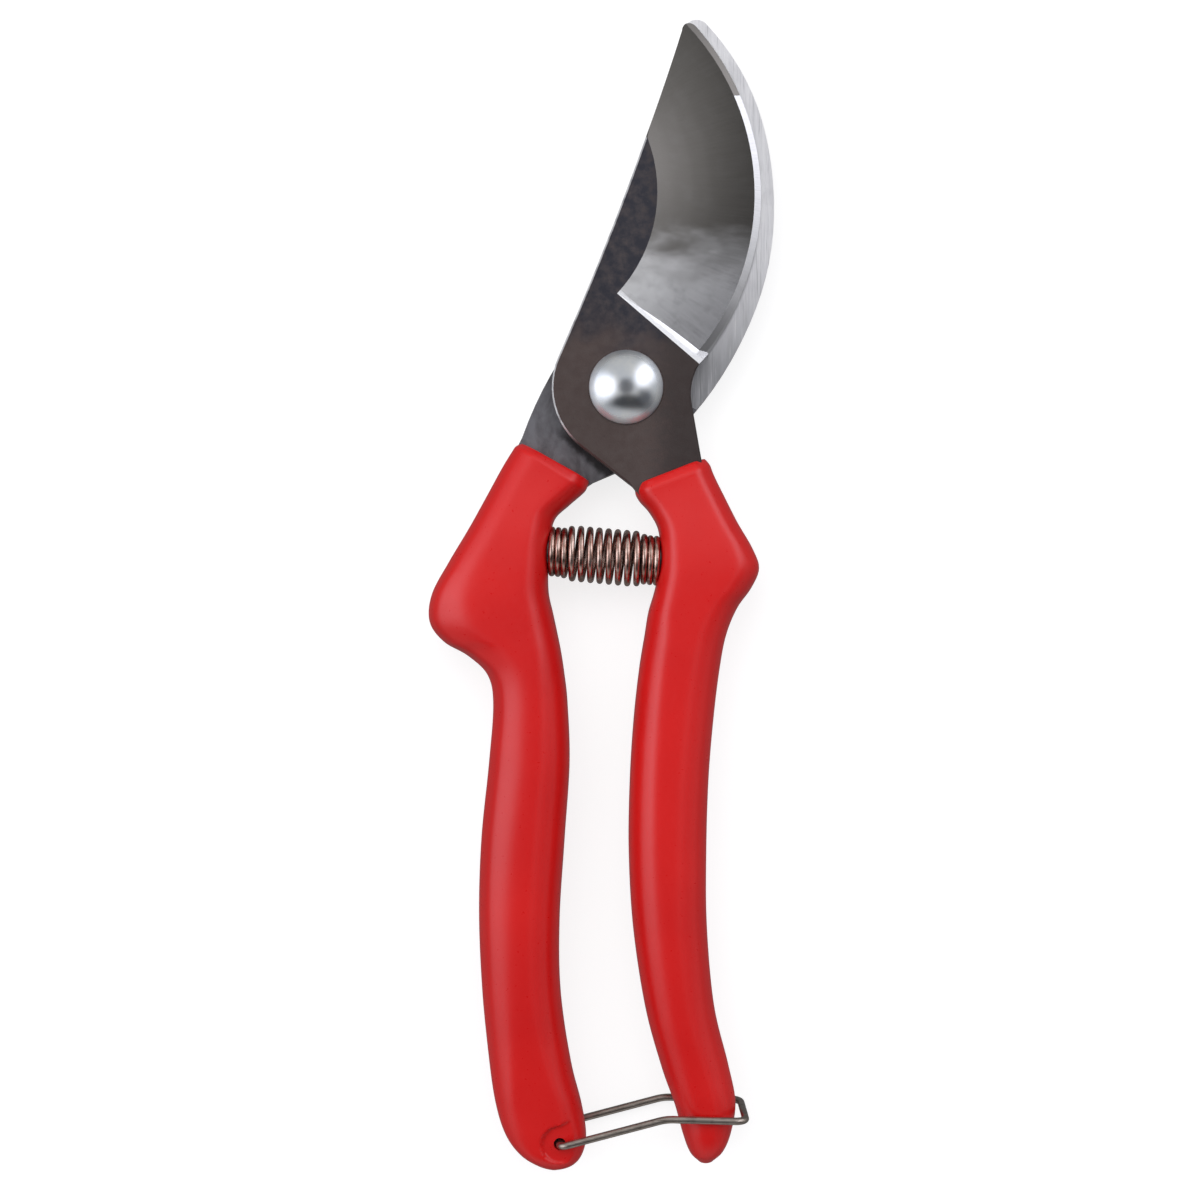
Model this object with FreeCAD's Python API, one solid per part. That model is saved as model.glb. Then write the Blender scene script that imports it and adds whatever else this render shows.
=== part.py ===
"""Bypass pruning shears: two forged steel halves on one pivot bolt, PVC grips, a return spring and a wire catch.

The shears lie on their back, closed and latched. X and Y are centred on the pivot axis, +Y runs towards the
blade tip, +Z up through the dome head, and Z = 0 is the surface they lie on. Every length is in millimetres.
"""
import FreeCAD, Part
import math
import os

V = FreeCAD.Vector
UP = V(0, 0, 1)

# ---- driving dimensions --------------------------------------------------------------------------------
BLADE_T = 3.2            # thickness of the front plate, which carries the cutting blade
HOOK_T = 3.4             # thickness of the rear plate, which carries the hook
PLATE_GAP = 0.05         # each plate stands this far from the plane where the two meet
NUT_H = 3.2              # thin M6 hexagon nut
NUT_AF = 10.0            # nut width across flats
DISC_H = 0.8             # height of the conical disc spring under the nut
BOLT_R = 3.0             # M6 shank
BORE_R = 3.05            # running bore in the rear plate
HEAD_R = 6.7             # dome head
HEAD_H = 3.6
HEAD_RIM = 0.35          # short straight rim under the dome
SQUARE_AF = 6.0          # square neck under the head
SQUARE_H = 2.9
FIT = 0.05               # clearance of parts that are fixed together

MID = NUT_H + DISC_H + HOOK_T + PLATE_GAP     # height of the plane where the two plates meet
BLADE_Z0 = MID + PLATE_GAP
BLADE_Z1 = BLADE_Z0 + BLADE_T
HOOK_Z1 = MID - PLATE_GAP
HOOK_Z0 = HOOK_Z1 - HOOK_T
GRIP_T = 2 * MID - 0.1   # the grips are as thick as the stack is high, so they touch the surface too

# cutting blade: its edge and its hollow grind are both arcs about one centre
GRIND_X, GRIND_Y = -21.3, 35.3
EDGE_R = 45.95           # cutting edge
GRIND_R = 26.9           # inner limit of the hollow grind
HONE_W = 1.25            # width of the honed strip along the edge
HONE_Z = 0.95            # thickness of the blade where that strip starts
EDGE_Z = 0.15            # thickness left at the edge
HOLLOW = 0.42            # how far the grind dips below a straight bevel
STEP_X, STEP_Y = 13.2, 4.2                       # the grind ends on a line through this point
STEP_ANGLE = -40.6       # direction of that line, in degrees
STEP_SLOPE = 46.0        # slope of the ramp along it, in degrees
PLATE_CHAMFER = 0.3      # on the upper edges of the front plate

# hook: its shearing edge is an arc too
HOOK_EDGE_X, HOOK_EDGE_Y, HOOK_EDGE_R = -18.2, 36.3, 38.0
HOOK_LAND = 1.2          # flat land along the shearing edge
HOOK_BEVEL = 2.6         # width of the relief behind that land

# pivot bosses
BLADE_BOSS_R = 13.4
BACK_ANGLE = 156.0       # where the blade's back runs into its boss, in degrees
HOOK_BOSS_R = 13.2

# grips
WALL = 1.9               # PVC over the steel
MOUTH_LAP = 3.2          # thickness of the PVC collar at the mouth, where only the flat neck passes
MOUTH_ROUND = 1.1
HOOK_MOUTH = ((-19.8, -9.4), (-6.1, -17.1))      # the mouth of each grip is cut along this line
BLADE_MOUTH = ((1.2, -17.8), (15.0, -12.4))

# catch
CATCH_X, CATCH_Y = -11.9, -136.0                 # axis of the catch, through the tail of the hook half
CATCH_HOLE_R = 1.1
WIRE_R = 0.65
STRAND_Z = 6.75          # each strand runs this far above or below the middle plane
KNEE_X, KNEE_Y = 7.1, -131.0                     # where the strands bend a little
BAR_X, BAR_Y = 21.4, -131.4                      # the bar that holds the blade half's tail
PIN_GAP = 1.0            # half the space between the two ends in the hole
POCKET_R = 3.3           # shallow pocket round the hole, open towards the other handle
POCKET_FLOOR = 4.9       # height of its floor above or below the middle plane

# return spring, from the left seat to the right seat
SEAT_A = V(-14.1, -29.5, MID)
SEAT_B = V(6.2, -31.3, MID)
SPRING_WIRE_R = 0.55
END_R, BODY_R = 4.0, 4.6
END_TURNS, BODY_TURNS = 3, 8
END_PITCH = 1.12
POINTS_PER_TURN = 12
STUD_R = 3.1
STUD_OUT = 4.0           # how far each stud stands out of the grip
STUD_SHANK_R = 2.0
STUD_IN = 6.5

# ---- sections along each grip: left side, right side, thickness and squareness, from the mouth to the tail --
HOOK_GRIP = [
    ((-17.9, -5.9), (-3.6, -14.2), 10.8, 3.4),
    ((-20.2, -10.1), (-7.3, -18.7), 10.9, 3.4),
    ((-22.6, -14.2), (-10.3, -21.2), 11.6, 3.4),
    ((-25.4, -19.5), (-12.9, -23.7), 12.7, 3.4),
    ((-28.6, -25.3), (-13.8, -27.6), 13.8, 3.4),
    ((-32.0, -31.4), (-14.1, -32.4), 14.4, 3.3),
    ((-35.1, -37.4), (-14.0, -37.0), 14.6, 3.2),
    ((-35.6, -42.2), (-13.2, -40.7), 14.6, 3.1),
    ((-33.0, -45.7), (-12.5, -44.0), 14.6, 3.0),
    ((-28.6, -48.3), (-11.8, -47.6), 14.7, 3.0),
    ((-25.2, -52.1), (-11.2, -51.6), GRIP_T, 2.9),
    ((-24.2, -57.5), (-10.6, -57.0), GRIP_T, 2.8),
    ((-25.0, -68.0), (-10.2, -68.0), GRIP_T, 2.7),
    ((-26.4, -82.0), (-11.1, -82.0), GRIP_T, 2.7),
    ((-26.8, -96.0), (-12.0, -96.5), 14.6, 2.7),
    ((-26.2, -110.0), (-11.8, -109.5), 13.7, 2.7),
    ((-24.9, -123.0), (-9.9, -122.5), 12.3, 2.7),
    ((-23.6, -130.6), (-8.0, -130.3), 11.7, 2.8),
    ((-21.9, -135.5), (-7.2, -135.7), 11.5, 2.8),
    ((-19.5, -138.7), (-7.8, -138.8), 11.0, 2.7),
    ((-16.8, -140.6), (-9.2, -140.7), 8.6, 2.5),
    ((-14.6, -141.5), (-11.4, -141.5), 5.0, 2.2),
]
BLADE_GRIP = [
    ((-1.7, -14.6), (12.6, -7.5), 10.8, 3.4),
    ((1.9, -19.8), (15.8, -15.0), 10.9, 3.4),
    ((4.3, -22.5), (17.9, -19.4), 11.7, 3.4),
    ((5.9, -25.5), (20.4, -24.4), 12.8, 3.4),
    ((6.25, -29.3), (23.0, -28.9), 13.8, 3.4),
    ((5.95, -33.4), (24.3, -32.6), 14.4, 3.3),
    ((5.1, -37.2), (22.9, -36.2), 14.6, 3.2),
    ((4.1, -40.6), (20.3, -39.9), 14.6, 3.1),
    ((3.4, -44.8), (18.3, -44.8), 14.7, 3.0),
    ((2.4, -51.0), (17.1, -51.0), GRIP_T, 2.8),
    ((1.4, -60.0), (16.0, -60.0), GRIP_T, 2.7),
    ((0.7, -71.0), (15.1, -71.0), GRIP_T, 2.7),
    ((0.5, -84.0), (14.7, -84.0), GRIP_T, 2.7),
    ((1.3, -98.0), (14.8, -97.5), 14.5, 2.7),
    ((3.5, -112.5), (16.1, -112.0), 13.5, 2.7),
    ((6.4, -123.3), (18.7, -122.8), 12.3, 2.7),
    ((8.8, -130.0), (20.0, -129.6), 11.7, 2.8),
    ((10.4, -135.6), (19.2, -134.9), 11.2, 2.7),
    ((11.6, -138.7), (17.9, -138.2), 8.8, 2.5),
    ((13.2, -140.4), (16.0, -140.2), 4.6, 2.2),
]
SECTION_POINTS = 24


# ---- helpers -----------------------------------------------------------------------------------------------
def polar(radius, degrees, centre=(0.0, 0.0), z=0.0):
    """The point at that radius and angle about a centre."""
    a = math.radians(degrees)
    return V(centre[0] + radius * math.cos(a), centre[1] + radius * math.sin(a), z)


def line(a, b):
    return Part.LineSegment(V(*a), V(*b)).toShape()


def arc(a, b, c):
    return Part.Arc(V(*a), V(*b), V(*c)).toShape()


def tangent_arc(foot, far):
    """The arc from foot to far that leaves foot tangent to the circle about the origin through foot."""
    u, r = V(foot).normalize(), foot.Length
    reach = u.dot(far)
    big = (r * r - 2 * r * reach + far.Length ** 2) / (2 * reach - 2 * r)
    centre = u * (r + big)
    middle = centre + ((foot + far) / 2 - centre).normalize() * big
    return arc(foot, middle, far)


def spline(points, start=None, end=None):
    curve = Part.BSplineCurve()
    if start and end:
        curve.interpolate([V(*p) for p in points], InitialTangent=V(*start), FinalTangent=V(*end))
    else:
        curve.interpolate([V(*p) for p in points])
    return curve.toShape()


def slab(edges, z0, z1):
    """A closed outline in XY, filled and thickened from z0 to z1."""
    face = Part.Face(Part.Wire(Part.__sortEdges__(edges)))
    face.translate(V(0, 0, z0))
    return face.extrude(V(0, 0, z1 - z0))


def beyond(mouth, inset):
    """A large block on the pivot's side of a mouth line, moved into the grip by inset."""
    a, b = V(*mouth[0]), V(*mouth[1])
    along = (b - a).normalize()
    out = V(-along.y, along.x, 0)
    start = a - out * inset - along * 60
    corners = [start, start + along * 120, start + along * 120 + out * 60, start + out * 60]
    face = Part.Face(Part.makePolygon(corners + [start]))
    face.translate(V(0, 0, -20))
    return face.extrude(V(0, 0, 60))


def section(left, right, thick, square, inset):
    """One closed cross-section of a grip: a superellipse that stands on the line from left to right."""
    a, b = V(*left), V(*right)
    centre, half = (a + b) / 2, (b - a) / 2
    along, reach = V(half).normalize(), half.Length - inset
    height = thick / 2 - inset
    points = []
    for i in range(SECTION_POINTS):
        t = 2 * math.pi * i / SECTION_POINTS
        u = math.copysign(abs(math.cos(t)) ** (2 / square), math.cos(t))
        w = math.copysign(abs(math.sin(t)) ** (2 / square), math.sin(t))
        points.append(centre + along * (reach * u) + V(0, 0, MID + height * w))
    curve = Part.BSplineCurve()
    curve.interpolate(points, PeriodicFlag=True)
    return Part.Wire(curve.toShape())


def handle(sections, inset=0.0, skip_end=0):
    """The smooth solid through a grip's sections, made thinner all round by inset."""
    kept = sections[:len(sections) - skip_end]
    wires = [section(a, b, t, n, inset) for a, b, t, n in kept]
    return Part.makeLoft(wires, True, False)


def round_edges(shape, radius, wanted):
    """Rounds the edges that the test wanted() picks, or leaves the shape as it is if they can't be rounded."""
    picked = [e for e in shape.Edges if wanted(e)]
    try:
        done = shape.makeFillet(radius, picked)
        if done.isValid() and done.Volume > 0:
            return done
    except Exception:
        pass
    print("not rounded:", radius, len(picked))
    return shape


# ---- steel halves ------------------------------------------------------------------------------------------
def blade_outline():
    """The front plate, seen from above: cutting edge first, then tip, back, heel, neck and throat."""
    centre = (GRIND_X, GRIND_Y)
    tip = polar(EDGE_R, 42.0, centre)
    belly = polar(EDGE_R, 0.0, centre)
    heel_of_edge = (STEP_X, STEP_Y, 0)
    back_top, back_low = V(10.2, 65.1, 0), polar(BLADE_BOSS_R, BACK_ANGLE)
    neck_low = V(1.2, -17.9, 0)
    fall = math.degrees(math.acos(BLADE_BOSS_R / neck_low.Length))
    boss_end = polar(BLADE_BOSS_R, math.degrees(math.atan2(neck_low.y, neck_low.x)) - fall)
    boss_mid = polar(BLADE_BOSS_R, (BACK_ANGLE + 232) / 2)
    throat = (11.8, -2.6, 0)
    return [
        arc(heel_of_edge, belly, tip),
        arc(tip, (10.7, 66.2, 0), back_top),
        tangent_arc(back_low, back_top),
        arc(back_low, boss_mid, boss_end),
        line(boss_end, neck_low),
        line(neck_low, (6.2, -24.4, 0)),
        line((6.2, -24.4, 0), (15.0, -21.0, 0)),
        line((15.0, -21.0, 0), throat),
        arc(throat, (12.0, 1.3, 0), heel_of_edge),
    ]


def grind_tool():
    """What the grinding wheel takes off the blade: a hollow bevel, the honed strip and the ramp at the end."""
    top, over = BLADE_Z1, BLADE_Z1 + 4
    hone_r = EDGE_R - HONE_W
    mid_r = (GRIND_R + hone_r) / 2
    mid_z = (top + BLADE_Z0 + HONE_Z) / 2 - HOLLOW
    profile = Part.Wire([
        arc((GRIND_R, 0, top), (mid_r, 0, mid_z), (hone_r, 0, BLADE_Z0 + HONE_Z)),
        line((hone_r, 0, BLADE_Z0 + HONE_Z), (EDGE_R, 0, BLADE_Z0 + EDGE_Z)),
        line((EDGE_R, 0, BLADE_Z0 + EDGE_Z), (EDGE_R + 6, 0, BLADE_Z0 + EDGE_Z)),
        line((EDGE_R + 6, 0, BLADE_Z0 + EDGE_Z), (EDGE_R + 6, 0, over)),
        line((EDGE_R + 6, 0, over), (GRIND_R, 0, over)),
        line((GRIND_R, 0, over), (GRIND_R, 0, top)),
    ])
    ring = Part.Face(profile).revolve(V(0, 0, 0), UP, 150)
    ring.rotate(V(0, 0, 0), UP, STEP_ANGLE - 30)
    ring.translate(V(GRIND_X, GRIND_Y, 0))
    side = Part.makeBox(240, 160, 240, V(-120, 0, -120))
    side.rotate(V(0, 0, 0), V(1, 0, 0), 90 - STEP_SLOPE)
    side.rotate(V(0, 0, 0), UP, STEP_ANGLE)
    side.translate(V(STEP_X, STEP_Y, top))
    return ring.common(side)


def cutting_blade():
    plate = slab(blade_outline(), BLADE_Z0, BLADE_Z1)
    upper = [e for e in plate.Edges if e.BoundBox.ZMin > BLADE_Z1 - 0.01 and e.CenterOfMass.y > -19
             and e.CenterOfMass.x < 20 and e.Length > 5]
    plate = plate.makeChamfer(PLATE_CHAMFER, upper).cut(grind_tool())
    core = handle(BLADE_GRIP, WALL, 1).cut(beyond(BLADE_MOUTH, MOUTH_LAP))
    half = plate.fuse(core)
    square = Part.makeBox(SQUARE_AF + 2 * FIT, SQUARE_AF + 2 * FIT, 20,
                          V(-SQUARE_AF / 2 - FIT, -SQUARE_AF / 2 - FIT, 0))
    half = half.cut(square)
    return half.removeSplitter()


def hook_outline():
    """The rear plate, seen from above: outer curve, boss, neck and the hollow shearing edge."""
    centre = (HOOK_EDGE_X, HOOK_EDGE_Y)
    edge_top = polar(HOOK_EDGE_R, 39.2, centre)
    edge_mid = polar(HOOK_EDGE_R, 0.0, centre)
    edge_low = polar(HOOK_EDGE_R, -46.5, centre)
    boss_top = polar(HOOK_BOSS_R, 62)
    boss_left = polar(HOOK_BOSS_R, 110)
    neck_top = polar(HOOK_BOSS_R, 156)
    boss_right = polar(HOOK_BOSS_R, -19)
    boss_low = polar(HOOK_BOSS_R, -42)
    neck_low = polar(HOOK_BOSS_R, -64.5)
    outer = [(14.9, 66.4, 0), (19.2, 61.0, 0), (23.9, 51.9, 0), (26.4, 41.8, 0), (27.05, 33.6, 0),
             (26.0, 22.4, 0), (22.1, 10.8, 0), (16.0, 0.2, 0), boss_right]
    return [
        arc(edge_top, edge_mid, edge_low),
        line(edge_low, boss_top),
        arc(boss_top, boss_left, neck_top),
        arc(neck_top, (-15.0, 0.2, 0), (-18.9, -8.8, 0)),
        line((-18.9, -8.8, 0), (-23.0, -17.0, 0)),
        line((-23.0, -17.0, 0), (-14.6, -22.6, 0)),
        line((-14.6, -22.6, 0), (-6.0, -16.9, 0)),
        line((-6.0, -16.9, 0), neck_low),
        arc(neck_low, boss_low, boss_right),
        spline(outer),
        arc((14.9, 66.4, 0), (12.6, 67.4, 0), (10.8, 66.2, 0)),
        line((10.8, 66.2, 0), edge_top),
    ]


def relief_tool():
    """What is ground off the back of the hook, behind the land along its shearing edge."""
    profile = Part.makePolygon([
        V(HOOK_EDGE_R - 3, 0, HOOK_Z1 - HOOK_LAND),
        V(HOOK_EDGE_R, 0, HOOK_Z1 - HOOK_LAND),
        V(HOOK_EDGE_R + HOOK_BEVEL, 0, HOOK_Z0 - 0.01),
        V(HOOK_EDGE_R + HOOK_BEVEL, 0, HOOK_Z0 - 3),
        V(HOOK_EDGE_R - 3, 0, HOOK_Z0 - 3),
        V(HOOK_EDGE_R - 3, 0, HOOK_Z1 - HOOK_LAND),
    ])
    tool = Part.Face(profile).revolve(V(0, 0, 0), UP, 80)
    tool.rotate(V(0, 0, 0), UP, -40)
    tool.translate(V(HOOK_EDGE_X, HOOK_EDGE_Y, 0))
    return tool


def hook_blade():
    plate = slab(hook_outline(), HOOK_Z0, HOOK_Z1).cut(relief_tool())
    plate = round_edges(plate, 0.6, lambda e: abs(e.CenterOfMass.z - HOOK_Z0) < 0.01
                        and e.CenterOfMass.x > 17)
    core = handle(HOOK_GRIP, WALL, 1).cut(beyond(HOOK_MOUTH, MOUTH_LAP))
    half = plate.fuse(core)
    half = half.cut(Part.makeCylinder(BORE_R, 20, V(0, 0, 0)))
    half = half.cut(catch_hole())
    return half.removeSplitter()


# ---- grips -------------------------------------------------------------------------------------------------
def mouth_edges(shape, mouth):
    """A test for the outer edges that the mouth cut has made on a grip."""
    a, b = V(*mouth[0]), V(*mouth[1])
    along = (b - a).normalize()
    out = V(-along.y, along.x, 0)

    def on_mouth(edge):
        points = [edge.valueAt(edge.FirstParameter + (edge.LastParameter - edge.FirstParameter) * k / 4)
                  for k in range(5)]
        return all(abs((V(p.x, p.y, 0) - a).dot(out)) < 0.02 for p in points)

    return on_mouth


def catch_hole():
    return Part.makeCylinder(CATCH_HOLE_R, 40, V(CATCH_X, CATCH_Y, -10))


def grip(sections, mouth, steel):
    body = handle(sections).cut(beyond(mouth, 0.0))
    body = round_edges(body, MOUTH_ROUND, mouth_edges(body, mouth))
    return body.cut(steel)


def pockets():
    """The two shallow pockets round the catch hole, one on each face, open towards the other handle."""
    x, y, r = CATCH_X, CATCH_Y, POCKET_R
    outline = [
        arc((x, y - r, 0), (x - r, y, 0), (x - 0.9, y + r, 0)),
        line((x - 0.9, y + r, 0), (x + 8, y + 2.2 * r, 0)),
        line((x + 8, y + 2.2 * r, 0), (x + 8, y - r, 0)),
        line((x + 8, y - r, 0), (x, y - r, 0)),
    ]
    return [slab(outline, MID + POCKET_FLOOR, MID + 9), slab(outline, MID - 9, MID - POCKET_FLOOR)]


def hook_grip(steel):
    body = grip(HOOK_GRIP, HOOK_MOUTH, steel.fuse(stud_space(SEAT_A, SEAT_B)))
    for tool in pockets() + [catch_hole()]:
        body = body.cut(tool)
    return body


def blade_grip(steel):
    return grip(BLADE_GRIP, BLADE_MOUTH, steel.fuse(stud_space(SEAT_B, SEAT_A)))


# ---- pivot -------------------------------------------------------------------------------------------------
def pivot_bolt():
    """Dome head, square neck in the front plate, round shank through the rear plate and the nut."""
    z = BLADE_Z1
    rim, crown = z + HEAD_RIM, z + HEAD_H
    dome_h = HEAD_H - HEAD_RIM
    dome_r = (HEAD_R ** 2 + dome_h ** 2) / (2 * dome_h)
    half = math.asin(HEAD_R / dome_r) / 2
    centre_z = crown - dome_r
    between = V(dome_r * math.sin(half), 0, centre_z + dome_r * math.cos(half))
    profile = Part.Wire([
        line((0, 0, z), (HEAD_R, 0, z)),
        line((HEAD_R, 0, z), (HEAD_R, 0, rim)),
        arc((HEAD_R, 0, rim), between, (0, 0, crown)),
        line((0, 0, crown), (0, 0, z)),
    ])
    head = Part.Face(profile).revolve(V(0, 0, 0), UP, 360)
    neck = Part.makeBox(SQUARE_AF, SQUARE_AF, SQUARE_H, V(-SQUARE_AF / 2, -SQUARE_AF / 2, z - SQUARE_H))
    shank = Part.makeCylinder(BOLT_R, z, V(0, 0, 0))
    end = shank.makeChamfer(0.4, [e for e in shank.Edges if abs(e.CenterOfMass.z) < 1e-6 and e.Closed])
    return head.fuse(neck).fuse(end).removeSplitter()


def disc_washer():
    """A conical disc spring, wide side against the rear plate."""
    inner, outer, thick = 3.15, 6.4, 0.45
    z0 = NUT_H
    profile = Part.makePolygon([
        V(inner, 0, z0), V(inner + 0.25, 0, z0), V(outer, 0, z0 + DISC_H - thick), V(outer, 0, z0 + DISC_H),
        V(outer - 0.25, 0, z0 + DISC_H), V(inner, 0, z0 + thick), V(inner, 0, z0)])
    return Part.Face(profile).revolve(V(0, 0, 0), UP, 360)


def pivot_nut():
    """Thin hexagon nut with both faces chamfered."""
    across_corners = NUT_AF / math.cos(math.radians(30))
    corners = [polar(across_corners / 2, 60 * i) for i in range(6)]
    nut = Part.Face(Part.makePolygon(corners + [corners[0]])).extrude(V(0, 0, NUT_H))
    r_low = NUT_AF / 2 * 0.97
    rise = (across_corners / 2 - r_low) * math.tan(math.radians(30))
    low = Part.makeCone(r_low, across_corners / 2, rise, V(0, 0, 0))
    high = Part.makeCone(across_corners / 2, r_low, rise, V(0, 0, NUT_H - rise))
    middle = Part.makeCylinder(across_corners / 2, NUT_H - 2 * rise, V(0, 0, rise))
    nut = nut.common(low.fuse(middle).fuse(high))
    nut = nut.cut(Part.makeCylinder(BOLT_R + 0.02, NUT_H, V(0, 0, 0)))
    return nut.removeSplitter()


# ---- spring and studs --------------------------------------------------------------------------------------
def spring_frame():
    """The spring's axis: its start, its direction and two directions across it."""
    along = (SEAT_B - SEAT_A).normalize()
    return SEAT_A, along, UP, along.cross(UP)


def spring_path():
    """Points along the wire: close turns at both ends and a wider, open body between them."""
    start, along, up, side = spring_frame()
    length = (SEAT_B - SEAT_A).Length - 2 * SPRING_WIRE_R
    turns = 2 * END_TURNS + BODY_TURNS
    body_pitch = (length - 2 * END_TURNS * END_PITCH) / BODY_TURNS
    points = []
    for i in range(turns * POINTS_PER_TURN + 1):
        n = i / POINTS_PER_TURN
        into = min(n, turns - n)
        blend = min(max(into - END_TURNS + 0.75, 0.0), 1.5) / 1.5
        blend = blend * blend * (3 - 2 * blend)
        radius = END_R + (BODY_R - END_R) * blend
        if n <= END_TURNS:
            travel = n * END_PITCH
        elif n >= turns - END_TURNS:
            travel = length - (turns - n) * END_PITCH
        else:
            travel = END_TURNS * END_PITCH + (n - END_TURNS) * body_pitch
        a = 2 * math.pi * n + math.pi
        points.append(start + along * (travel + SPRING_WIRE_R)
                      + up * (radius * math.cos(a)) + side * (radius * math.sin(a)))
    return points


def return_spring():
    points = spring_path()
    curve = Part.BSplineCurve()
    curve.interpolate(points)
    path = Part.Wire(curve.toShape())
    tangent = curve.tangent(curve.FirstParameter)[0]
    ring = Part.Wire(Part.Circle(points[0], tangent, SPRING_WIRE_R).toShape())
    pipe = Part.BRepOffsetAPI.MakePipeShell(path)
    pipe.setFrenetMode(True)
    pipe.add(ring)
    pipe.build()
    pipe.makeSolid()
    return pipe.shape()


def stud(seat, other):
    """A steel stud pressed into the handle, which holds one end of the spring."""
    along = (other - seat).normalize()
    back = seat - along * STUD_IN
    peg_start = seat - along * 1.6
    shank = Part.makeCylinder(STUD_SHANK_R, STUD_IN, back, along)
    peg = Part.makeCylinder(STUD_R, STUD_OUT + 1.6, peg_start, along)
    far = [e for e in peg.Edges if e.Closed and (e.CenterOfMass - seat).dot(along) > STUD_OUT - 0.1]
    peg = peg.makeChamfer(0.9, far)
    return shank.fuse(peg).removeSplitter()


def stud_space(seat, other):
    """The hole in the grip's wall that the stud passes through."""
    along = (other - seat).normalize()
    return Part.makeCylinder(STUD_R + FIT, 8, seat - along * 3.0, along)


# ---- catch -------------------------------------------------------------------------------------------------
def bent_path(points, radii):
    """Straight runs joined by tangent arcs, one radius for each inner point."""
    edges, at = [], points[0]
    for before, here, after, radius in zip(points, points[1:], points[2:], radii):
        u, w = (before - here).normalize(), (after - here).normalize()
        half = u.getAngle(w) / 2
        back = radius / math.tan(half)
        a, b = here + u * back, here + w * back
        middle = (u + w).normalize()
        centre = here + middle * (radius / math.sin(half))
        edges.append(Part.LineSegment(at, a).toShape())
        edges.append(Part.Arc(a, centre - middle * radius, b).toShape())
        at = b
    edges.append(Part.LineSegment(at, points[-1]).toShape())
    return Part.Wire(edges)


def catch_wire():
    """A wire loop whose two ends turn into the hole in the hook half's tail, one from each face."""
    def level(sign):
        z = MID + sign * STRAND_Z
        return [V(CATCH_X, CATCH_Y, MID + sign * PIN_GAP), V(CATCH_X, CATCH_Y, z), V(KNEE_X, KNEE_Y, z),
                V(BAR_X, BAR_Y, z)]
    points = level(1) + level(-1)[::-1]
    path = bent_path(points, [1.5, 9.0, 2.0, 2.0, 9.0, 1.5])
    ring = Part.Wire(Part.Circle(points[0], UP, WIRE_R).toShape())
    pipe = Part.BRepOffsetAPI.MakePipeShell(path)
    pipe.setFrenetMode(False)
    pipe.add(ring)
    pipe.build()
    pipe.makeSolid()
    return pipe.shape()


# ---- build -------------------------------------------------------------------------------------------------
def main():
    blade, hook = cutting_blade(), hook_blade()
    shank_a = Part.makeCylinder(STUD_SHANK_R, STUD_IN, SEAT_A - (SEAT_B - SEAT_A).normalize() * STUD_IN,
                                SEAT_B - SEAT_A)
    shank_b = Part.makeCylinder(STUD_SHANK_R, STUD_IN, SEAT_B - (SEAT_A - SEAT_B).normalize() * STUD_IN,
                                SEAT_A - SEAT_B)
    parts = {
        "blade_grip": blade_grip(blade),
        "hook_grip": hook_grip(hook),
        "cutting_blade": blade.cut(shank_b),
        "hook_blade": hook.cut(shank_a),
        "pivot_bolt": pivot_bolt(),
        "disc_washer": disc_washer(),
        "pivot_nut": pivot_nut(),
        "return_spring": return_spring(),
        "hook_spring_stud": stud(SEAT_A, SEAT_B),
        "blade_spring_stud": stud(SEAT_B, SEAT_A),
        "catch_wire": catch_wire(),
    }
    os.makedirs("parts", exist_ok=True)
    for name, shape in parts.items():
        box = shape.BoundBox
        print(f"{name}: {shape.ShapeType}, {len(shape.Solids)} solid, valid {shape.isValid()}, "
              f"{shape.Volume:.1f} mm3, X {box.XMin:.2f}..{box.XMax:.2f}, Y {box.YMin:.2f}..{box.YMax:.2f}, "
              f"Z {box.ZMin:.2f}..{box.ZMax:.2f}")
        shape.exportStep(f"parts/{name}.step")


main()
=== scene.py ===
"""Looks for the pruning shears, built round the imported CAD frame.

Lengths are in millimetres unless a comment says metres, in the row frame: the pivot axis at X = Y = 0, +Y to
the tip, +Z through the dome head. MM turns them into Blender's metres.
"""
import math

import bmesh
import bpy
import numpy as np
from mathutils import Matrix, Vector

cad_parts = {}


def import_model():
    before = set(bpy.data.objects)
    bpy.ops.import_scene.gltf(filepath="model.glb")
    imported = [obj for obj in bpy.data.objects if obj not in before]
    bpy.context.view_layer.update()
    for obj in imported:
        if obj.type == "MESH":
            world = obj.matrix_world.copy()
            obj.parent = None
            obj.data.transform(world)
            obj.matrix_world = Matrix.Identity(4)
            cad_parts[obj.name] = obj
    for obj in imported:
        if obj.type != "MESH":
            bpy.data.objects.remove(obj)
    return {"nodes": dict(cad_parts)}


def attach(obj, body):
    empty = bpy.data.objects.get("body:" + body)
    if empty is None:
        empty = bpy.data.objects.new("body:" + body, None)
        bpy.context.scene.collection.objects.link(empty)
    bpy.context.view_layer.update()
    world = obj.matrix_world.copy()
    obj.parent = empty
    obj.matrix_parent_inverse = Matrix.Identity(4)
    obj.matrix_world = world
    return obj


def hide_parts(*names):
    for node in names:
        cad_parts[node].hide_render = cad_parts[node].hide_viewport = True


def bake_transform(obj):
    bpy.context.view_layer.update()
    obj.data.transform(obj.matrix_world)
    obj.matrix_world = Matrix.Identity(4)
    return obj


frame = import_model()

bpy.context.view_layer.update()

MM = 0.001
UP = Vector((0, 0, 1))

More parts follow.
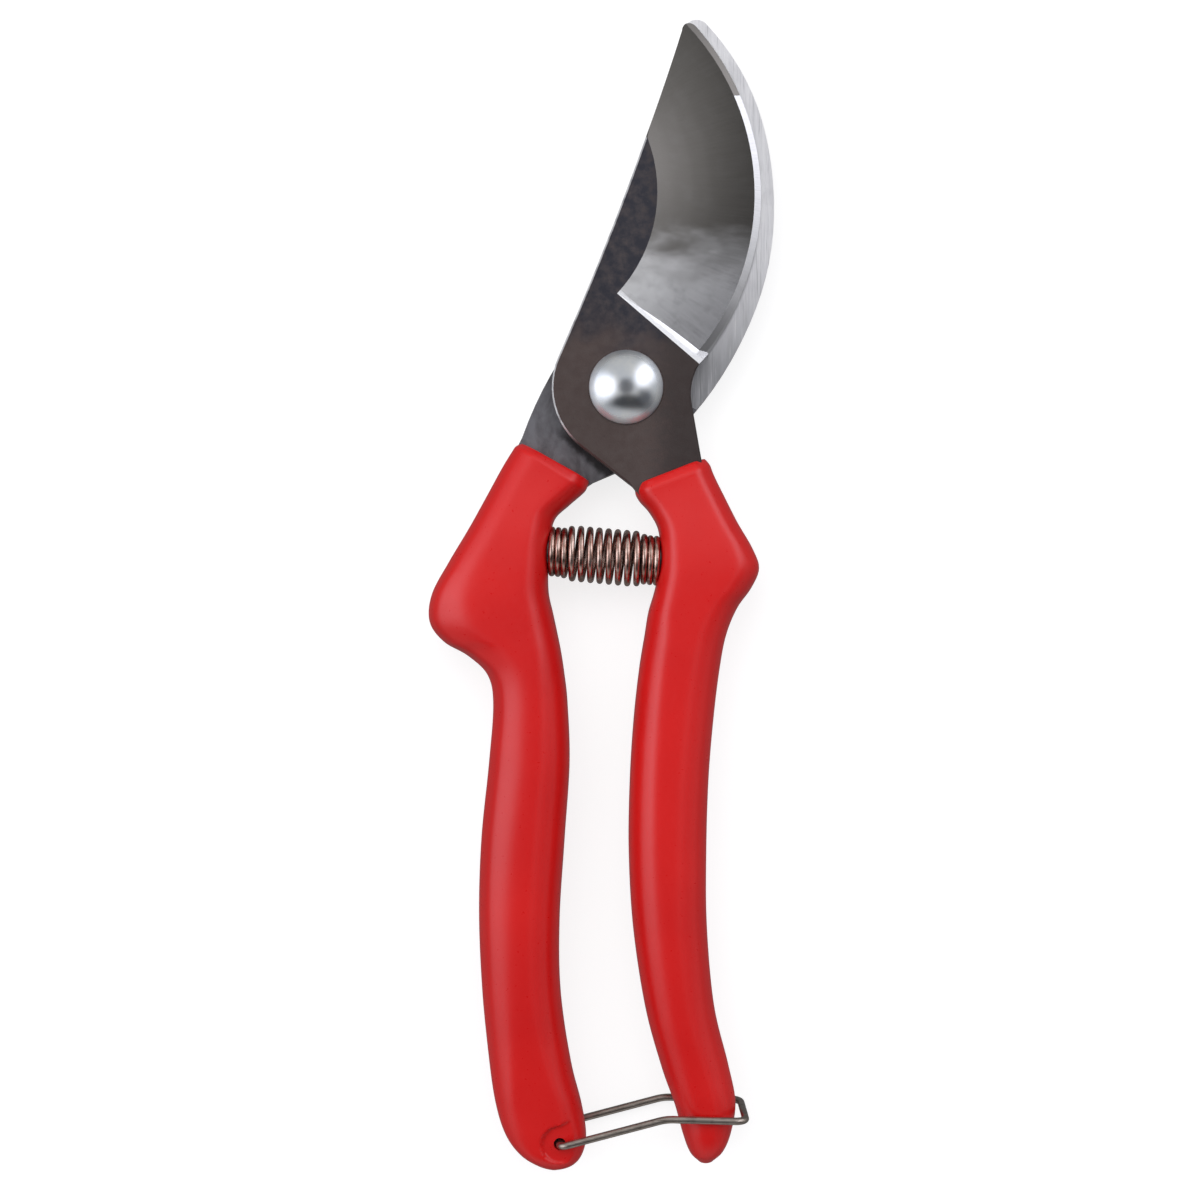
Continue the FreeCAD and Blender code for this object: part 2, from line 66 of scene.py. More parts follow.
# ---- dimensions, mostly those of the CAD source -----------------------------------------------------------
MID = 7.45                      # height of the plane where the two plates meet
BLADE_TOP = 10.7                # top of the front plate
CHAMFER_H = 0.31                # depth below it of the plate's bright chamfers
HOOK_TOP = 7.4                  # top of the rear plate
GRIND_CENTRE = (-21.3, 35.3)    # centre of the cutting edge, the hone and the grind's inner limit
EDGE_R, GRIND_R, HONE_W = 45.95, 26.9, 1.25
STEP_POINT, STEP_ANGLE = (13.2, 4.2), -40.6             # line where the grind stops at the boss, in degrees
HOOK_EDGE_CENTRE, HOOK_EDGE_R = (-18.2, 36.3), 38.0     # the hook's shearing edge
RELIEF_W = 2.7                  # width of the relief behind it
HEAD_R, HEAD_H, HEAD_RIM = 6.7, 3.6, 0.35
SHANK_R, THREAD_R, THREAD_PITCH = 3.0, 2.72, 0.55
GRIP_T = 14.8

# left side, right side, thickness and squareness of each section, from the mouth to the tail; the hand stop
# is up to half a millimetre fuller than the CAD's
HOOK_GRIP = [
    ((-19.8, -9.4), (-6.1, -17.1), 10.9, 3.4),
    ((-20.6, -10.8), (-7.6, -18.9), 10.95, 3.4),
    ((-22.6, -14.2), (-10.3, -21.2), 11.6, 3.4),
    ((-25.4, -19.5), (-12.9, -23.7), 12.7, 3.4),
    ((-28.6, -25.3), (-13.8, -27.6), 13.8, 3.4),
    ((-32.3, -31.4), (-14.1, -32.4), 14.4, 3.3),
    ((-35.6, -37.4), (-14.0, -37.0), 14.6, 3.2),
    ((-36.1, -42.4), (-13.2, -40.7), 14.6, 3.1),
    ((-33.4, -46.1), (-12.5, -44.0), 14.6, 3.0),
    ((-28.9, -48.6), (-11.8, -47.6), 14.7, 3.0),
    ((-25.2, -52.1), (-11.2, -51.6), GRIP_T, 2.9),
    ((-24.2, -57.5), (-10.6, -57.0), GRIP_T, 2.8),
    ((-25.0, -68.0), (-10.2, -68.0), GRIP_T, 2.7),
    ((-26.4, -82.0), (-11.1, -82.0), GRIP_T, 2.7),
    ((-26.8, -96.0), (-12.0, -96.5), 14.6, 2.7),
    ((-26.2, -110.0), (-11.8, -109.5), 13.7, 2.7),
    ((-24.9, -123.0), (-9.9, -122.5), 12.3, 2.7),
    ((-23.6, -130.6), (-8.0, -130.3), 11.7, 2.8),
    ((-21.9, -135.5), (-7.2, -135.7), 11.5, 2.8),
    ((-19.5, -138.7), (-7.8, -138.8), 11.0, 2.7),
    ((-16.8, -140.6), (-9.2, -140.7), 8.6, 2.5),
    ((-14.6, -141.5), (-11.4, -141.5), 5.0, 2.2),
]
BLADE_GRIP = [
    ((1.2, -17.8), (15.0, -12.4), 10.9, 3.4),
    ((2.3, -20.2), (16.0, -15.4), 11.0, 3.4),
    ((4.3, -22.5), (17.9, -19.4), 11.7, 3.4),
    ((5.9, -25.5), (20.4, -24.4), 12.8, 3.4),
    ((6.25, -29.3), (23.0, -28.9), 13.8, 3.4),
    ((5.95, -33.4), (24.3, -32.6), 14.4, 3.3),
    ((5.1, -37.2), (22.9, -36.2), 14.6, 3.2),
    ((4.1, -40.6), (20.3, -39.9), 14.6, 3.1),
    ((3.4, -44.8), (18.3, -44.8), 14.7, 3.0),
    ((2.4, -51.0), (17.1, -51.0), GRIP_T, 2.8),
    ((1.4, -60.0), (16.0, -60.0), GRIP_T, 2.7),
    ((0.7, -71.0), (15.1, -71.0), GRIP_T, 2.7),
    ((0.5, -84.0), (14.7, -84.0), GRIP_T, 2.7),
    ((1.3, -98.0), (14.8, -97.5), 14.5, 2.7),
    ((3.5, -112.5), (16.1, -112.0), 13.5, 2.7),
    ((6.4, -123.3), (18.7, -122.8), 12.3, 2.7),
    ((8.8, -130.0), (20.0, -129.6), 11.7, 2.8),
    ((10.4, -135.6), (19.2, -134.9), 11.2, 2.7),
    ((11.6, -138.7), (17.9, -138.2), 8.8, 2.5),
    ((13.2, -140.4), (16.0, -140.2), 4.6, 2.2),
]
LIP_R, LIP_SIDE = 1.7, 0.5      # roll of the PVC at the mouth, over the faces and at the sides
# distance back from the mouth and drop below the face along that roll, as shares of it
LIP = ((0.0, 1.0), (0.03, 0.86), (0.10, 0.74), (0.25, 0.58), (0.45, 0.38), (0.65, 0.19), (0.82, 0.07),
       (1.0, 0.0))
MOUTH_RINGS = (0.25, 0.5, 0.75, 0.92)                   # sizes of the rings that fill the mouth's face
TAIL_RINGS = ((0.85, 0.10), (0.62, 0.2), (0.32, 0.27))  # sizes of the rings past the last section, how far
TAIL_END = 0.3                                          # from the last section to the end of the skin
LEAST_GAP = 0.2                                         # least distance from the lip to the next ring
RING = 132                      # points round a section
SHARP = 20.0                    # how sharply a section turns from one plane to the next
CREST_WIDTHS, CREST_TILTS = (2.7, 5.5), (46.0, 25.0)    # slope beyond a ridge, by its distance to the side
CREST_MOST = 0.8                # that distance's limit, as a share of the half width
ROLL_SHARE, ROLL_MOST, ROLL_TILT = 0.42, 2.2, 62.0      # where the side starts to roll over, and its slope
BOXINESS = (-139, -124), (0.25, 0.92)   # share of the ridged shape, at two heights Y: the tails are rounder
# distances of the ridges from the left and the right side, at heights Y along the handle
HOOK_CRESTS = ((-10, 3.7, 2.5), (-24, 4.1, 2.7), (-32, 5.0, 2.8), (-40, 7.3, 3.0), (-47, 7.7, 3.2),
               (-56, 6.2, 4.0), (-75, 5.9, 4.7), (-100, 5.4, 4.8), (-118, 4.6, 4.4), (-128, 3.4, 3.0),
               (-142, 3.0, 2.8))
BLADE_CRESTS = ((-12, 2.0, 2.6), (-29, 1.9, 3.2), (-36, 2.3, 4.2), (-45, 3.4, 4.6), (-62, 3.9, 4.8),
                (-100, 4.4, 4.8), (-120, 4.2, 4.2), (-141, 3.0, 3.0))
CATCH = (-11.9, -136.0)         # axis of the catch
CATCH_HOLE_R, POCKET_R, POCKET_FLOOR = 1.1, 3.3, 4.9
POCKET_EDGE = 0.5               # width of the slope round the pocket
NECK_OUT, NECK_EDGE = (-0.675, -0.738, 0.0), -12.8      # line where the front plate's edge crosses the neck
SEAT_A, SEAT_B = Vector((-14.1, -29.5, MID)), Vector((6.2, -31.3, MID))
WIRE_R, END_R, BODY_R, END_TURNS, BODY_TURNS, END_PITCH = 0.55, 4.0, 4.6, 3, 8, 1.12
WIDEN = 1.5                     # turns over which the spring widens from its ends to its body
SEAT_DEPTH = 0.45               # how far each end of the spring presses into its grip

# ---- studio -----------------------------------------------------------------------------------------------
FLAT_R, COVE_R = 1.4, 1.6       # backdrop's flat floor and the curve up to its wall, in metres
FLOOR_DROP = 0.0003             # the floor is this far below the tool, in metres
# height from nadir to zenith, grey
WORLD_RAMP = ((0.0, 0.16), (0.42, 0.22), (0.5, 0.44), (0.62, 0.58), (0.80, 0.62), (1.0, 0.66))
HORIZON = 0.12                  # direction Z below which the patches fade
WORLD_PATCHES = [               # direction X and Y, half sizes, share that is full, grey
    (-0.74, 0.08, 0.48, 0.66, 0.0, 2.7),
    (0.64, 0.46, 0.43, 0.60, 0.0, 2.6),
    (0.0, 0.06, 0.42, 0.42, 0.50, 0.15),
    (0.12, -0.54, 1.0, 0.36, 0.5, 0.05),
    (0.72, -0.30, 0.38, 0.44, 0.2, 0.12),
]
LOOK_AT = (-0.0047, -0.0384, 0.0075)
CAMERA_HEIGHT, LENS, SENSOR = 0.3125, 50.2, 36.0        # metres, then millimetres


# ---- materials --------------------------------------------------------------------------------------------
class Look:
    """A node material built step by step. Coordinates are the object's own, in millimetres."""

    def __init__(self, name):
        self.material = bpy.data.materials.new(name)
        self.material.use_nodes = True
        self.tree = self.material.node_tree
        self.tree.nodes.clear()
        self.shader = self.add("ShaderNodeBsdfPrincipled")
        out = self.add("ShaderNodeOutputMaterial")
        self.join(self.shader.outputs[0], out.inputs["Surface"])
        self.coords = self.add("ShaderNodeTexCoord")
        scale = self.add("ShaderNodeVectorMath", operation="SCALE")
        scale.inputs["Scale"].default_value = 1000.0
        self.join(self.coords.outputs["Object"], scale.inputs[0])
        self.place = scale.outputs[0]
        split = self.add("ShaderNodeSeparateXYZ")
        self.join(self.place, split.inputs[0])
        self.x, self.y, self.z = split.outputs

    def add(self, kind, **settings):
        node = self.tree.nodes.new(kind)
        for key, value in settings.items():
            setattr(node, key, value)
        return node

    def join(self, output, socket):
        self.tree.links.new(output, socket)

    def feed(self, socket, value):
        """Sets a socket to a number, a colour or another node's output."""
        if isinstance(value, bpy.types.NodeSocket):
            self.join(value, socket)
        elif isinstance(value, (tuple, list)) and len(value) == 3 and socket.type == "RGBA":
            socket.default_value = (*value, 1.0)
        else:
            socket.default_value = value

    def set(self, **values):
        for key, value in values.items():
            self.feed(self.shader.inputs[key.replace("_", " ")], value)

    def math(self, operation, a, b=0.0):
        node = self.add("ShaderNodeMath", operation=operation)
        for socket, value in zip(node.inputs, (a, b)):
            self.feed(socket, value)
        return node.outputs[0]

    def product(self, *values):
        """The product of two or more values."""
        made = values[0]
        for value in values[1:]:
            made = self.math("MULTIPLY", made, value)
        return made

    def plus(self, *values):
        """The sum of two or more values."""
        made = values[0]
        for value in values[1:]:
            made = self.math("ADD", made, value)
        return made

    def above(self, value, limit):
        """1 where the value is over the limit, 0 elsewhere."""
        return self.math("GREATER_THAN", value, limit)

    def below(self, value, limit):
        """1 where the value is under the limit, 0 elsewhere."""
        return self.math("LESS_THAN", value, limit)

    def most(self, *values):
        """The largest of two or more values."""
        made = values[0]
        for value in values[1:]:
            made = self.math("MAXIMUM", made, value)
        return made

    def other(self, share):
        """1 less the share."""
        return self.math("SUBTRACT", 1.0, share)

    def offset(self, centre):
        """Distances in X and Y from a centre."""
        return self.math("SUBTRACT", self.x, centre[0]), self.math("SUBTRACT", self.y, centre[1])

    def dot(self, vector, direction):
        node = self.add("ShaderNodeVectorMath", operation="DOT_PRODUCT")
        self.feed(node.inputs[0], vector)
        node.inputs[1].default_value = direction
        return node.outputs["Value"]

    def stretch(self, vector, scale, turn=0.0):
        """The vector turned about Z and scaled, for streaks."""
        node = self.add("ShaderNodeMapping")
        self.feed(node.inputs["Vector"], vector)
        node.inputs["Rotation"].default_value = (0, 0, math.radians(turn))
        node.inputs["Scale"].default_value = scale
        return node.outputs[0]

    def noise(self, scale, detail=3.0, roughness=0.5, vector=None, distortion=0.0):
        node = self.add("ShaderNodeTexNoise")
        self.feed(node.inputs["Vector"], vector or self.place)
        for key, value in (("Scale", scale), ("Detail", detail), ("Roughness", roughness),
                           ("Distortion", distortion)):
            node.inputs[key].default_value = value
        return node.outputs["Fac"]

    def span(self, value, low, high, to_low=0.0, to_high=1.0, smooth=False):
        node = self.add("ShaderNodeMapRange")
        node.interpolation_type = "SMOOTHSTEP" if smooth else "LINEAR"
        for socket, v in zip(node.inputs, (value, low, high, to_low, to_high)):
            self.feed(socket, v)
        return node.outputs[0]

    def mix(self, share, a, b):
        node = self.add("ShaderNodeMix", data_type="RGBA")
        self.feed(node.inputs[0], share)
        self.feed(node.inputs[6], a)
        self.feed(node.inputs[7], b)
        return node.outputs[2]

    def blend(self, share, a, b):
        """A number that goes from a to b."""
        node = self.add("ShaderNodeMix", data_type="FLOAT")
        self.feed(node.inputs[0], share)
        self.feed(node.inputs[2], a)
        self.feed(node.inputs[3], b)
        return node.outputs[0]

    def radius(self, centre):
        """Distance in XY from a centre."""
        dx, dy = self.offset(centre)
        return self.math("SQRT", self.plus(self.product(dx, dx), self.product(dy, dy)))

    def polar(self, centre, along, across):
        """Coordinates that follow a circle: angle times along, and radius times across."""
        dx, dy = self.offset(centre)
        node = self.add("ShaderNodeCombineXYZ")
        self.feed(node.inputs[0], self.product(self.math("ARCTAN2", dy, dx), along))
        self.feed(node.inputs[1], self.product(self.radius(centre), across))
        self.feed(node.inputs[2], self.product(self.z, 0.4))
        return node.outputs[0]

    def bump(self, height, distance, strength=1.0):
        """Bump from a height between 0 and 1, with distance in millimetres."""
        node = self.add("ShaderNodeBump")
        node.inputs["Strength"].default_value = strength
        node.inputs["Distance"].default_value = distance * MM
        self.feed(node.inputs["Height"], height)
        self.join(node.outputs[0], self.shader.inputs["Normal"])


def grip_pvc():
    """Glossy moulded PVC: faint mould flecks, fine scuffs along the handle, a slightly uneven skin."""
    look = Look("grip_pvc")
    broad = look.noise(0.045, 2.0)
    fine = look.noise(1.6, 4.0, 0.6)
    colour = look.mix(look.span(broad, 0.3, 0.7), (0.52, 0.006, 0.006), (0.59, 0.009, 0.008))
    colour = look.mix(look.span(fine, 0.55, 0.85, 0.0, 0.10), colour, (0.66, 0.04, 0.035))
    scuff = look.noise(0.9, 5.0, 0.65, look.stretch(look.place, (1.0, 0.18, 1.0), 8.0))
    scuff = look.span(scuff, 0.62, 0.80)
    rough = look.plus(look.span(fine, 0.3, 0.7, 0.27, 0.34), look.product(scuff, 0.06))
    look.set(Base_Color=colour, Roughness=rough, Specular_IOR_Level=0.45)
    look.set(Subsurface_Weight=0.05, Subsurface_Scale=0.001)
    look.shader.inputs["Subsurface Radius"].default_value = (1.0, 0.25, 0.15)
    grain = look.product(look.noise(3.2, 3.0, 0.6), 0.7)
    waves = look.product(look.noise(0.25, 2.0), 1.6)
    look.bump(look.plus(grain, waves), 0.035, 0.6)
    return look.material


def scale_colour(look, centre_shift=0.0):
    """The mottled black-brown oxide left on forged steel, bluish above the pivot and brown below it."""
    broad = look.noise(0.09, 3.0, 0.55, distortion=0.6)
    cloud = look.noise(0.55, 5.0, 0.62)
    speck = look.noise(3.4, 4.0, 0.7)
    height = look.plus(look.y, look.span(broad, 0.3, 0.7, -9.0, 9.0))
    blue = look.span(height, 1.0 + centre_shift, 17.0 + centre_shift, smooth=True)
    colour = look.mix(blue, (0.080, 0.058, 0.053), (0.029, 0.029, 0.038))
    colour = look.mix(look.span(cloud, 0.42, 0.72, 0.0, 0.55), colour, (0.095, 0.076, 0.070))
    colour = look.mix(look.span(speck, 0.66, 0.80, 0.0, 0.5), colour, (0.17, 0.145, 0.135))
    colour = look.mix(look.span(speck, 0.25, 0.38, 0.5, 0.0), colour, (0.022, 0.020, 0.021))
    return colour, cloud, speck


def scale_pits(look, cloud, speck):
    """Height of the pitted skin of forged steel."""
    return look.plus(look.product(speck, 0.5), look.product(cloud, 0.8))


def blade_steel():
    """Forging scale, painted shade to +X, a painted dark reflection on the grind, the hone, rubbed and
    painted-bright edges.
    """
    look = Look("blade_steel")
    normal = look.coords.outputs["Normal"]
    faces_up = look.dot(normal, (0, 0, 1))
    colour, cloud, speck = scale_colour(look)
    # painted shade: the scale is painted darker towards +X, over the right of the boss and the neck
    painted_shade_right = look.plus(look.x, look.span(cloud, 0.3, 0.7, -2.0, 2.0))
    colour = look.mix(look.span(painted_shade_right, 3.0, 9.0, 0.0, 0.55, smooth=True), colour, (0.026, 0.022, 0.022))

    # where the grind, the hone, the step's ramp and the painted highlight at its foot are
    from_centre = look.radius(GRIND_CENTRE)
    low = look.below(look.z, BLADE_TOP - 0.012)
    turn = math.radians(STEP_ANGLE + 90)
    across = math.cos(turn), math.sin(turn)
    ahead = look.math("SUBTRACT", look.dot(look.place, (*across, 0)),
                      STEP_POINT[0] * across[0] + STEP_POINT[1] * across[1])
    past_step = look.above(ahead, -0.01)
    wide = look.above(from_centre, GRIND_R - 0.05)
    ground = look.product(look.above(faces_up, 0.6), low, wide, past_step)
    ramp = look.above(look.dot(normal, (across[0] * 0.72, across[1] * 0.72, 0.69)), 0.93)
    honed = look.product(look.above(from_centre, EDGE_R - HONE_W), past_step, look.other(ramp))
    # painted highlight: the foot of the grind at the step is painted as a bright band
    painted_highlight_foot = look.plus(ahead, look.span(cloud, 0.3, 0.7, -0.12, 0.12),
                     look.span(look.x, -2.0, 15.0, 0.15, -0.25))
    painted_highlight_foot = look.product(look.span(painted_highlight_foot, 0.70, 1.15, 1.0, 0.0, smooth=True), ground)

    # chamfers and edges are rubbed bright, and a painted highlight makes them lighter still, kept above Y
    # -10.5 and left of X 11.5
    rubbed_edge_and_highlight = look.product(look.other(ground), low, look.above(look.z, BLADE_TOP - CHAMFER_H),
                        look.span(cloud, 0.30, 0.55, 0.45, 1.0),
                        look.span(look.y, -10.5, -6.5, smooth=True),
                        look.span(look.x, 9.0, 11.5, 1.0, 0.0))

    # steel of the grind, bright below; its darkening above Y 15.5 to 31 is a painted dark reflection
    streak = look.noise(1.0, 4.0, 0.6, look.polar(GRIND_CENTRE, 260.0, 0.16))
    hone_streak = look.noise(1.0, 3.0, 0.6, look.polar(GRIND_CENTRE, 420.0, 0.3))
    patch_noise = look.noise(0.11, 3.0, 0.55, look.stretch(look.place, (0.7, 1.3, 1.0), 12.0), 0.2)
    painted_dark_reflection = look.span(look.plus(look.y, look.span(patch_noise, 0.3, 0.7, -3.5, 3.5)), 15.5, 31.0, smooth=True)
    steel = look.mix(painted_dark_reflection, (0.97, 0.975, 0.985), (0.158, 0.150, 0.138))
    below_dark_reflection = look.span(painted_dark_reflection, 0.0, 1.0, 1.0, 0.18)
    steel = look.mix(look.product(below_dark_reflection, look.span(streak, 0.3, 0.7, 0.0, 0.09)), steel, (0.70, 0.70, 0.70))
    stain = look.product(below_dark_reflection, look.span(look.noise(0.4, 4.0, 0.6), 0.50, 0.75, 0.0, 0.30))
    steel = look.mix(stain, steel, (0.36, 0.36, 0.37))

    colour = look.mix(rubbed_edge_and_highlight, colour, (0.66, 0.66, 0.67))
    colour = look.mix(look.product(look.below(faces_up, 0.6), 0.5), colour, (0.20, 0.19, 0.185))
    colour = look.mix(ground, colour, steel)
    bright = look.mix(look.span(hone_streak, 0.3, 0.7), (0.70, 0.71, 0.72), (0.84, 0.84, 0.85))
    worn = look.product(honed, look.span(look.y, 12.0, 30.0, 0.15, 1.0, smooth=True))
    colour = look.mix(worn, colour, bright)
    dull = look.product(honed, look.span(look.y, 24.0, 10.0, 0.0, 0.8, smooth=True))
    colour = look.mix(dull, colour, (0.30, 0.30, 0.30))
    colour = look.mix(painted_highlight_foot, colour, (0.78, 0.79, 0.80))
    shiny = look.most(ground, honed, rubbed_edge_and_highlight)
    metal = look.blend(shiny, 0.55, 1.0)
    metal = look.blend(look.most(painted_highlight_foot, look.product(rubbed_edge_and_highlight, 0.7)), metal, 0.35)
    rough = look.blend(shiny, look.span(cloud, 0.3, 0.7, 0.40, 0.54),
                       look.span(streak, 0.3, 0.7, 0.20, 0.27))
    rough = look.blend(look.most(honed, painted_highlight_foot), rough, 0.42)
    look.set(Base_Color=colour, Metallic=metal, Roughness=rough, Anisotropic=0.35)
    lines = look.product(look.plus(streak, hone_streak), 0.07)
    look.bump(look.blend(shiny, scale_pits(look, cloud, speck), lines), 0.05, 0.7)
    return look.material


def hook_steel():
    """Mottled forging scale on the neck with a painted shadow, and the brushed hook and its relief, painted
    darker below.
    """
    look = Look("hook_steel")
    faces_up = look.dot(look.coords.outputs["Normal"], (0, 0, 1))
    colour, cloud, speck = scale_colour(look, 6.0)
    mottle = look.noise(0.35, 5.0, 0.62, look.stretch(look.place, (1.0, 0.6, 1.0), 42.0), 0.5)
    neck = look.mix(look.span(mottle, 0.34, 0.66), (0.105, 0.106, 0.115), (0.215, 0.222, 0.242))
    colour = look.mix(0.75, colour, neck)
    # painted shadow: a dark band on the neck along the front plate's edge, where that edge casts its shadow
    beside = look.plus(look.dot(look.place, NECK_OUT), NECK_EDGE, look.span(cloud, 0.3, 0.7, -0.35, 0.35))
    painted_shadow = look.product(look.span(beside, 0.9, 2.2, 0.86, 0.0, smooth=True),
                         look.span(look.y, -6.0, -9.5, smooth=True))
    colour = look.mix(painted_shadow, colour, (0.016, 0.014, 0.014))

    # where the brushed face and the relief are
    ahead = look.above(look.plus(look.y, look.product(look.x, 0.6)), 4.0)
    near = look.below(look.radius(HOOK_EDGE_CENTRE), HOOK_EDGE_R + RELIEF_W)
    relief = look.product(look.below(look.z, HOOK_TOP - 0.02), near, look.above(look.y, 6.0))
    ground = look.most(look.product(look.above(faces_up, 0.7), ahead), relief)

    marks = look.noise(1.0, 4.0, 0.62, look.stretch(look.place, (1.5, 0.09, 1.0), -14.0))
    scratches = look.noise(1.0, 2.0, 0.5, look.stretch(look.place, (5.0, 0.13, 1.0), -14.0))
    patch_noise = look.noise(0.22, 3.0, 0.55)
    # painted shade: the brushed steel is painted darker from Y 28 down to Y -2
    steel = look.mix(look.span(look.y, 28.0, -2.0, smooth=True), (0.98, 0.98, 0.99), (0.36, 0.365, 0.375))
    for share, tint in ((look.span(marks, 0.42, 0.66, 0.0, 0.5), (0.60, 0.60, 0.62)),
                        (look.span(scratches, 0.60, 0.72, 0.0, 0.5), (0.88, 0.88, 0.88)),
                        (look.span(scratches, 0.30, 0.40, 0.4, 0.0), (0.28, 0.28, 0.29)),
                        (look.span(patch_noise, 0.5, 0.7, 0.0, 0.25), (0.55, 0.55, 0.57))):
        steel = look.mix(share, steel, tint)
    flank = look.product(look.below(faces_up, 0.5), look.above(faces_up, -0.5))
    colour = look.mix(look.product(flank, 0.6), colour, (0.30, 0.295, 0.29))
    colour = look.mix(ground, colour, steel)
    metal = look.blend(ground, 0.6, 0.8)
    rough = look.blend(ground, look.span(cloud, 0.3, 0.7, 0.36, 0.50),
                       look.span(marks, 0.3, 0.7, 0.34, 0.46))
    look.set(Base_Color=colour, Metallic=metal, Roughness=rough, Anisotropic=0.3)
    look.bump(look.blend(ground, scale_pits(look, cloud, speck), look.product(marks, 0.4)), 0.05, 0.7)
    return look.material


def zinc_plated():
    """Bright zinc, clouded, and duller near the rim of the bolt's head."""
    look = Look("zinc_plated")
    cloud = look.noise(0.35, 4.0, 0.6)
    fine = look.noise(4.0, 3.0, 0.6)
    colour = look.mix(look.span(cloud, 0.35, 0.68), (0.66, 0.70, 0.74), (0.76, 0.775, 0.77))
    colour = look.mix(look.span(fine, 0.62, 0.8, 0.0, 0.35), colour, (0.55, 0.59, 0.64))
    rim = look.span(look.radius((0, 0)), HEAD_R - 1.2, HEAD_R - 0.2, 0.0, 0.22)
    rough = look.plus(look.span(cloud, 0.3, 0.7, 0.20, 0.25), rim)
    look.set(Base_Color=colour, Metallic=1.0, Roughness=rough)
    look.bump(look.plus(look.product(fine, 0.4), cloud), 0.010, 0.35)
    return look.material


def washer_steel():
    """Dark turned steel."""
    look = Look("washer_steel")
    cloud = look.noise(0.8, 4.0, 0.6)
    rings = look.noise(1.0, 3.0, 0.6, look.polar((0, 0), 2.0, 6.0))
    colour = look.mix(look.span(cloud, 0.35, 0.7), (0.13, 0.125, 0.125), (0.22, 0.21, 0.205))
    colour = look.mix(look.span(rings, 0.5, 0.75, 0.0, 0.3), colour, (0.07, 0.065, 0.065))
    look.set(Base_Color=colour, Metallic=1.0, Roughness=look.span(rings, 0.3, 0.7, 0.28, 0.42))
    look.bump(rings, 0.015, 0.5)
    return look.material


def spring_steel():
    """Oil-tempered wire, brown with a little rust."""
    look = Look("spring_steel")
    cloud = look.noise(0.7, 4.0, 0.6)
    grain = look.noise(6.0, 3.0, 0.6)
    colour = look.mix(look.span(cloud, 0.35, 0.68), (0.32, 0.175, 0.135), (0.68, 0.52, 0.45))
    colour = look.mix(look.span(grain, 0.6, 0.8, 0.0, 0.5), colour, (0.10, 0.045, 0.035))
    look.set(Base_Color=colour, Metallic=1.0, Roughness=look.span(cloud, 0.3, 0.7, 0.20, 0.30))
    look.bump(grain, 0.01, 0.5)
    return look.material


def catch_steel():
    """Drawn wire, with lines along it."""
    look = Look("catch_steel")
    draw = look.noise(1.0, 3.0, 0.6, look.stretch(look.place, (0.25, 6.0, 6.0), -13.0))
    cloud = look.noise(0.6, 3.0, 0.6)
    colour = look.mix(look.span(draw, 0.35, 0.7), (0.32, 0.275, 0.235), (0.50, 0.445, 0.395))
    colour = look.mix(look.span(cloud, 0.5, 0.75, 0.0, 0.5), colour, (0.13, 0.10, 0.085))
    look.set(Base_Color=colour, Metallic=1.0, Roughness=look.span(draw, 0.3, 0.7, 0.26, 0.38))
    look.bump(draw, 0.012, 0.5)
    return look.material


MAKERS = grip_pvc, blade_steel, hook_steel, washer_steel, spring_steel, catch_steel, zinc_plated
MATERIALS = {make.__name__: make() for make in MAKERS}


# ---- meshes -----------------------------------------------------------------------------------------------
def make_object(name, mesh, slot, smooth_angle):
    """Links a finished mesh in millimetres as a piece with the slot's material, smooth up to an angle."""
    mesh.transform(Matrix.Diagonal((MM, MM, MM, 1.0)))
    for face in mesh.polygons:
        face.use_smooth = True
    mesh.set_sharp_from_angle(angle=math.radians(smooth_angle))
    mesh.materials.append(MATERIALS[slot])
    piece = bpy.data.objects.new(name, mesh)
    bpy.context.scene.collection.objects.link(piece)
    return piece


def skin(rings, start, end):
    """A mesh through closed rings of points, closed at each end by a fan to a point."""
    bm = bmesh.new()
    rows = [[bm.verts.new(p) for p in ring] for ring in rings]
    count = len(rows[0])
    for a, b in zip(rows, rows[1:]):
        for i in range(count):
            j = (i + 1) % count
            bm.faces.new((a[i], a[j], b[j], b[i]))
    for row, point, flip in ((rows[0], start, True), (rows[-1], end, False)):
        tip = bm.verts.new(point)
        for i in range(count):
            j = (i + 1) % count
            corners = (row[j], row[i], tip) if flip else (row[i], row[j], tip)
            bm.faces.new(corners)
    bmesh.ops.recalc_face_normals(bm, faces=bm.faces)
    mesh = bpy.data.meshes.new("skin")
    bm.to_mesh(mesh)
    bm.free()
    return mesh


def outline(half, height, square, crests, boxiness):
    """Evenly spaced points round a section: flat faces, a ridge along each side of them, and round sides."""
    phi = np.linspace(0, 2 * math.pi, 721)
    u, w = np.cos(phi), np.sin(phi)
    planes = [u / half, -u / half, w / height, -w / height]
    for i, crest in ((-1, crests[0]), (1, crests[1])):
        crest = min(crest, CREST_MOST * half)
        tilt = math.radians(np.interp(crest, CREST_WIDTHS, CREST_TILTS))
        low = min(ROLL_SHARE * crest, ROLL_MOST)
        drop = (crest - low) * math.tan(tilt)
        roll = math.radians(ROLL_TILT)
        for x, z, slope in ((half - crest, height, tilt), (half - low, height - drop, roll)):
            reach = x * math.sin(slope) + z * math.cos(slope)
            for j in (-1, 1):
                planes.append((i * u * math.sin(slope) + j * w * math.cos(slope)) / reach)
    boxy = sum(np.clip(p, 0, None) ** SHARP for p in planes) ** (-1 / SHARP)
    round_one = ((np.abs(u) / half) ** square + (np.abs(w) / height) ** square) ** (-1 / square)
    reach = boxy * boxiness + round_one * (1 - boxiness)
    x, z = u * reach, w * reach
    travelled = np.concatenate([[0], np.cumsum(np.hypot(np.diff(x), np.diff(z)))])
    goals = np.linspace(0, travelled[-1], RING + 1)[:-1]
    return list(zip(np.interp(goals, travelled, x), np.interp(goals, travelled, z)))


